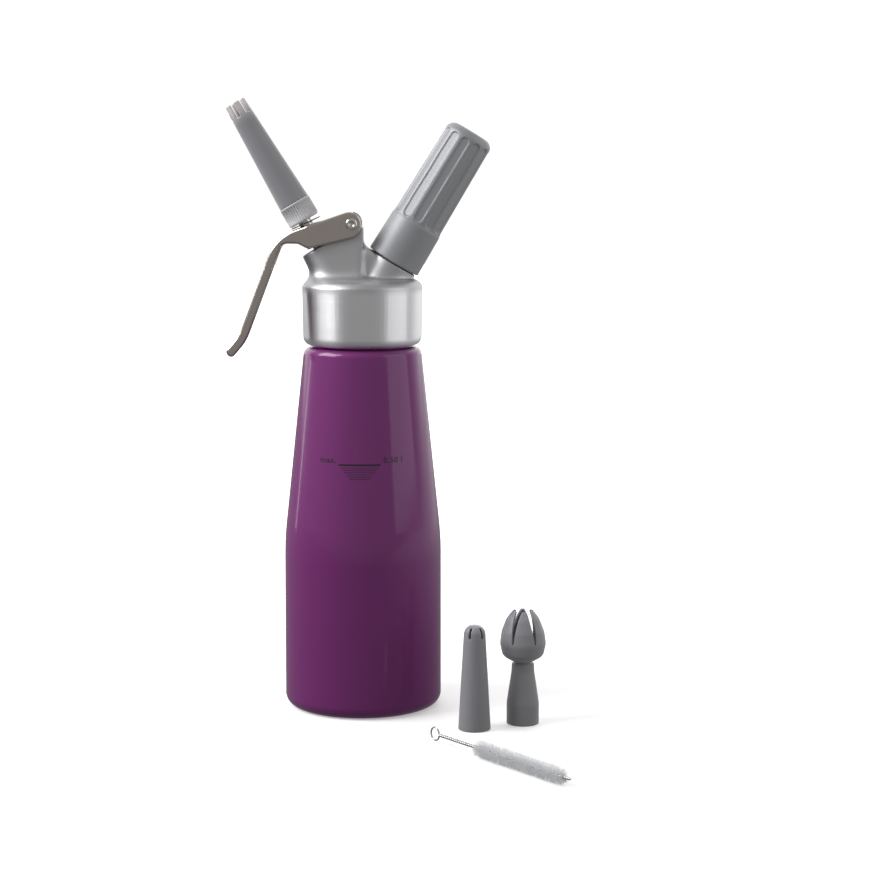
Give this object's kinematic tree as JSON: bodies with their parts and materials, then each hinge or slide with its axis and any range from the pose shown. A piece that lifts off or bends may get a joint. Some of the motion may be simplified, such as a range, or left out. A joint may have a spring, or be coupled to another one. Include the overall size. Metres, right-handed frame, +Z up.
{
  "type": "whipped cream dispenser",
  "caption": "Hand-held cream siphon: tapered bottle, screw-on cast head with squeeze lever, leaning decorator tip and gas charger holder, with spare tips and a cleaning brush.",
  "frame": {"origin": "centre of the bottle's flat base", "axes": "+Z up along the bottle's axis, -X towards the lever and the spout, +X towards the gas charger"},
  "size_m": [0.1644, 0.1981, 0.3107],
  "materials": {
    "lacquer": "gloss purple lacquer on drawn aluminium",
    "cast_aluminium": "satin, finely machined casting",
    "lever_steel": "brushed stainless sheet",
    "pin_steel": "polished stainless",
    "valve_steel": "turned stainless",
    "spring_steel": "drawn spring wire",
    "light_plastic": "light grey, satin",
    "tip_plastic": "mid grey, matte",
    "silver_plastic": "silver grey, satin",
    "liner_aluminium": "drawn",
    "cartridge_steel": "zinc-plated",
    "insert_brass": "turned",
    "black_rubber": "matte",
    "brush_wire_steel": "twisted galvanised wire",
    "nylon_bristles": "white nylon filament"
  },
  "bodies": {
    "bottle": {"bottle": "lacquer"},
    "gasket": {"head_gasket": "black_rubber"},
    "head": {"head": "cast_aluminium", "lever_pin": "pin_steel", "piercing_insert": "insert_brass", "charger_seal": "black_rubber", "check_valve": "black_rubber", "return_spring": "spring_steel"},
    "lever": {"lever": "lever_steel"},
    "stem": {"valve_stem": "valve_steel", "stem_seal": "black_rubber", "stem_oring": "black_rubber", "spring_retainer": "valve_steel", "lever_washer": "pin_steel"},
    "adapter": {"tip_adapter": "light_plastic"},
    "tip": {"star_tip": "tip_plastic"},
    "charger": {"n2o_charger": "cartridge_steel"},
    "holder": {"charger_holder": "silver_plastic", "holder_liner": "liner_aluminium"},
    "round_tip": {"round_tip": "tip_plastic"},
    "tulip_tip": {"tulip_tip": "tip_plastic"},
    "brush": {"brush_wire": "brush_wire_steel", "brush_bristles": "nylon_bristles"}
  },
  "joints": [
    {"name": "head_rise", "type": "slide", "parent": "bottle", "child": "gasket", "axis": [0, 0, 1], "range_m": [0, 0.0225]},
    {"name": "head_twist", "type": "hinge", "parent": "gasket", "child": "head", "pos_m": [0, 0, 0.2], "axis": [0, 0, 1], "range_deg": [0, 2700]},
    {"name": "lever_squeeze", "type": "hinge", "parent": "head", "child": "lever", "pos_m": [-0.00515, 0, 0.24719], "axis": [0, -1, 0], "range_deg": [0, 12], "stiffness_Nm_per_rad": 1.5, "springref_deg": -11.46},
    {"name": "stem_press", "type": "slide", "parent": "head", "child": "stem", "axis": [0.5068, 0, -0.8621], "range_m": [0, 0.0032], "deforming": ["return_spring"]},
    {"name": "adapter_off", "type": "slide", "parent": "stem", "child": "adapter", "axis": [-0.5068, 0, 0.8621], "range_m": [0, 0.01]},
    {"name": "tip_off", "type": "slide", "parent": "adapter", "child": "tip", "axis": [-0.5068, 0, 0.8621], "range_m": [0, 0.011]},
    {"name": "holder_draw", "type": "slide", "parent": "head", "child": "charger", "axis": [0.5195, 0, 0.8545], "range_m": [0, 0.01125]},
    {"name": "holder_twist", "type": "hinge", "parent": "charger", "child": "holder", "pos_m": [0.01569, 0, 0.2274], "axis": [0.5195, 0, 0.8545], "range_deg": [0, 2700]},
    {"name": "round_tip_lift", "type": "slide", "parent": "bottle", "child": "round_tip", "axis": [0, 0, 1], "range_m": [0, 0.06]},
    {"name": "tulip_tip_lift", "type": "slide", "parent": "bottle", "child": "tulip_tip", "axis": [0, 0, 1], "range_m": [0, 0.06]},
    {"name": "brush_lift", "type": "slide", "parent": "bottle", "child": "brush", "axis": [0, 0, 1], "range_m": [0, 0.06]}
  ],
  "couplings": [
    {"joint": "head_rise", "follows": "head_twist", "m_per_rad": 0.00047746},
    {"joint": "stem_press", "follows": "lever_squeeze", "m_per_rad": 0.01527},
    {"joint": "holder_draw", "follows": "holder_twist", "m_per_rad": 0.00023873}
  ]
}
